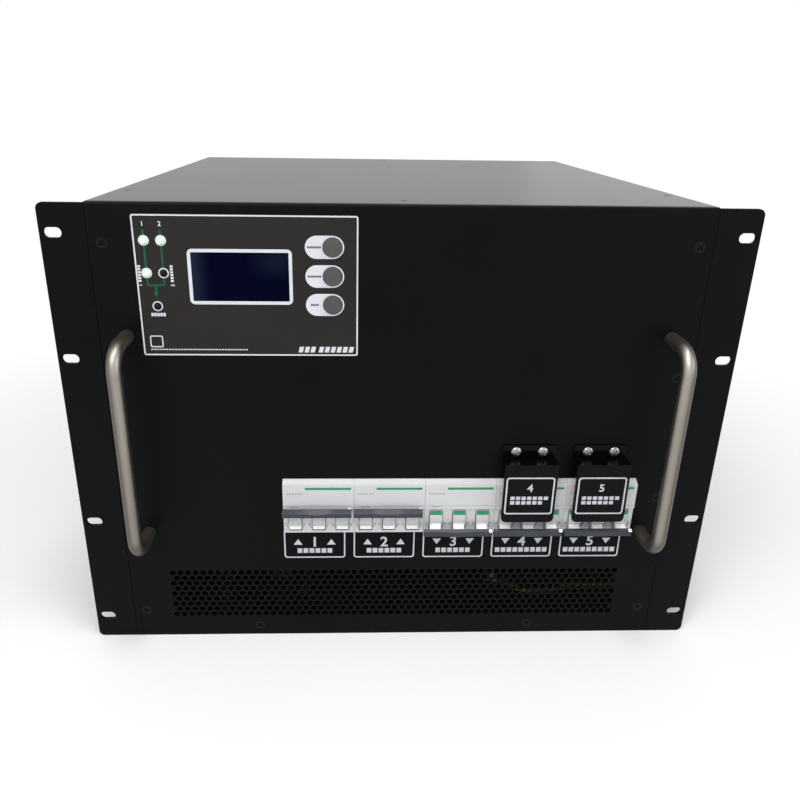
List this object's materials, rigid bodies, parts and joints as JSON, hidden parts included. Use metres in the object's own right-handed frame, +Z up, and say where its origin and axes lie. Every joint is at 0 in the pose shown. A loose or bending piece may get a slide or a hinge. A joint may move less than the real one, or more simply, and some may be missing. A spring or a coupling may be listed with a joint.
{
  "type": "rack static transfer switch",
  "caption": "Rack mounted static transfer switch: steel chassis with breakers, guarded bypass levers, display, thyristor stage and fans.",
  "frame": {"origin": "middle of the chassis underside", "axes": "+X to the right seen from the front, +Y from the front panel to the rear, +Z up"},
  "size_m": [0.4826, 0.4407, 0.3513],
  "materials": {
    "black_powder_coat": "fine textured powder coat",
    "black_cover_coat": "fine textured powder coat with a soft sheen",
    "satin_steel": "satin brushed along the bar",
    "steel_screws": "bright stainless",
    "black_screws": "black zinc",
    "overlay_film": "printed polyester film",
    "screen_glass": "dark blue screen behind a clear face",
    "circuit_board": "solder mask",
    "brass_pillars": "turned brass",
    "lamp_lit": "lit green lens, emissive",
    "lamp_dark": "dark lens",
    "key_plastic": "moulded",
    "switch_plastic": "moulded",
    "breaker_case": "moulded, fine spark texture",
    "lever_plastic": "moulded",
    "tie_bar_plastic": "moulded slate grey",
    "zinc_steel": "zinc plated",
    "heatsink_aluminium": "extruded",
    "module_plastic": "moulded",
    "copper_bar": "bare copper",
    "transformer_plastic": "moulded",
    "supply_case": "folded sheet",
    "fan_frame_plastic": "moulded",
    "fan_rotor_plastic": "moulded",
    "grille_steel": "plated",
    "terminal_plastic": "moulded",
    "wire_black": "insulated wire",
    "tinned_bar": "tinned",
    "wire_earth": "green wire with a yellow stripe"
  },
  "bodies": {
    "chassis": {"base_tray": "black_powder_coat", "front_panel": "black_powder_coat", "rack_ear_left": "black_powder_coat", "rack_ear_right": "black_powder_coat", "top_cover": "black_cover_coat", "rear_panel": "black_powder_coat", "handle_left": "satin_steel", "handle_right": "satin_steel", "handle_screws": "steel_screws", "panel_screws": "black_screws", "ear_screws": "black_screws", "cover_screws": "black_screws", "rear_screws": "black_screws", "display_overlay": "overlay_film", "lcd_module": "screen_glass", "display_board": "circuit_board", "board_pillars": "brass_pillars", "lamps_lit": "lamp_lit", "lamps_unlit": "lamp_dark", "key_switches": "switch_plastic", "breaker_1": "breaker_case", "breaker_2": "breaker_case", "breaker_3": "breaker_case", "breaker_4": "breaker_case", "breaker_5": "breaker_case", "din_rail": "zinc_steel", "rail_brackets": "zinc_steel", "guard_1": "black_powder_coat", "guard_2": "black_powder_coat", "guard_screws": "steel_screws", "heatsink_1": "heatsink_aluminium", "heatsink_2": "heatsink_aluminium", "thyristor_modules": "module_plastic", "output_busbars": "copper_bar", "current_transformers": "transformer_plastic", "control_board": "circuit_board", "power_supply": "supply_case", "fan_frames": "fan_frame_plastic", "fan_grilles": "grille_steel", "terminal_block": "terminal_plastic", "supply_wires": "wire_black", "module_wires": "wire_black", "earth_bar": "tinned_bar", "earth_wire": "wire_earth"},
    "toggle_1": {"levers_1": "lever_plastic", "tie_bar_1": "tie_bar_plastic"},
    "toggle_2": {"levers_2": "lever_plastic", "tie_bar_2": "tie_bar_plastic"},
    "toggle_3": {"levers_3": "lever_plastic", "tie_bar_3": "tie_bar_plastic"},
    "toggle_4": {"levers_4": "lever_plastic", "tie_bar_4": "tie_bar_plastic"},
    "toggle_5": {"levers_5": "lever_plastic", "tie_bar_5": "tie_bar_plastic"},
    "key_top_cap": {"key_top": "key_plastic"},
    "key_middle_cap": {"key_middle": "key_plastic"},
    "key_bottom_cap": {"key_bottom": "key_plastic"},
    "rotor_1": {"fan_rotor_1": "fan_rotor_plastic"},
    "rotor_2": {"fan_rotor_2": "fan_rotor_plastic"},
    "rotor_3": {"fan_rotor_3": "fan_rotor_plastic"}
  },
  "joints": [
    {"name": "toggle_1_hinge", "type": "hinge", "parent": "chassis", "child": "toggle_1", "pos_m": [-0.0605, -0.195, 0.1123], "axis": [1, 0, 0], "range_deg": [0, 64]},
    {"name": "toggle_2_hinge", "type": "hinge", "parent": "chassis", "child": "toggle_2", "pos_m": [-0.0065, -0.195, 0.1123], "axis": [1, 0, 0], "range_deg": [0, 64]},
    {"name": "toggle_3_hinge", "type": "hinge", "parent": "chassis", "child": "toggle_3", "pos_m": [0.0475, -0.195, 0.1123], "axis": [1, 0, 0], "range_deg": [-64, 0]},
    {"name": "toggle_4_hinge", "type": "hinge", "parent": "chassis", "child": "toggle_4", "pos_m": [0.1015, -0.195, 0.1123], "axis": [1, 0, 0], "range_deg": [-30, 0]},
    {"name": "toggle_5_hinge", "type": "hinge", "parent": "chassis", "child": "toggle_5", "pos_m": [0.1555, -0.195, 0.1123], "axis": [1, 0, 0], "range_deg": [-30, 0]},
    {"name": "key_top_press", "type": "slide", "parent": "chassis", "child": "key_top_cap", "axis": [0, 1, 0], "range_m": [0, 0.0008], "stiffness_N_per_m": 800},
    {"name": "key_middle_press", "type": "slide", "parent": "chassis", "child": "key_middle_cap", "axis": [0, 1, 0], "range_m": [0, 0.0008], "stiffness_N_per_m": 800},
    {"name": "key_bottom_press", "type": "slide", "parent": "chassis", "child": "key_bottom_cap", "axis": [0, 1, 0], "range_m": [0, 0.0008], "stiffness_N_per_m": 800},
    {"name": "fan_1_spin", "type": "hinge", "parent": "chassis", "child": "rotor_1", "pos_m": [-0.128, 0.186, 0.082], "axis": [0, 1, 0], "continuous": true},
    {"name": "fan_2_spin", "type": "hinge", "parent": "chassis", "child": "rotor_2", "pos_m": [0, 0.186, 0.082], "axis": [0, 1, 0], "continuous": true},
    {"name": "fan_3_spin", "type": "hinge", "parent": "chassis", "child": "rotor_3", "pos_m": [0.128, 0.186, 0.082], "axis": [0, 1, 0], "continuous": true}
  ]
}
